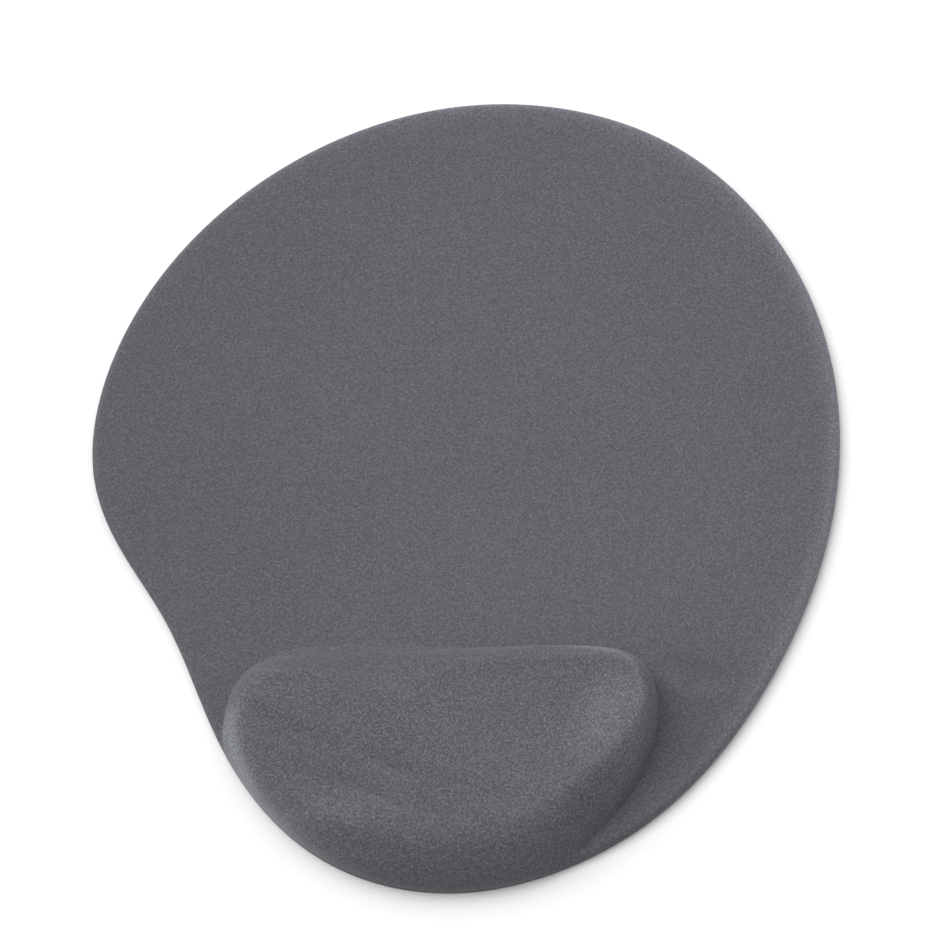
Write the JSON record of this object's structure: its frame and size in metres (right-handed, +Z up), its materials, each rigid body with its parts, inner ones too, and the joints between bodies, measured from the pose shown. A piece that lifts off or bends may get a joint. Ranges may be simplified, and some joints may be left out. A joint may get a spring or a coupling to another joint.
{
  "type": "gel wrist rest mouse pad",
  "caption": "Mouse pad with a flat rounded mousing area and a raised D-shaped gel wrist cushion under one grey stretch fabric cover.",
  "frame": {"origin": "on the desk, under the centre of the pad's outline", "axes": "+X to the right of the person who uses it, +Y away from that person, +Z up; the wrist cushion is at the -Y end"},
  "size_m": [0.22, 0.245, 0.019],
  "materials": {
    "cover_fabric": "fine grey stretch knit, matte with a soft sheen at grazing angles",
    "pouch_film": "clear polyurethane film",
    "gel": "soft translucent gel",
    "foam": "dark open-cell foam",
    "adhesive": "milky hot-melt film",
    "base": "dark textured non-slip polyurethane"
  },
  "bodies": {
    "root": {"fabric_cover": "cover_fabric", "upper_gel_film": "pouch_film", "gel_core": "gel", "lower_gel_film": "pouch_film", "foam_pad": "foam", "adhesive_film": "adhesive", "non_slip_base": "base"}
  },
  "joints": []
}
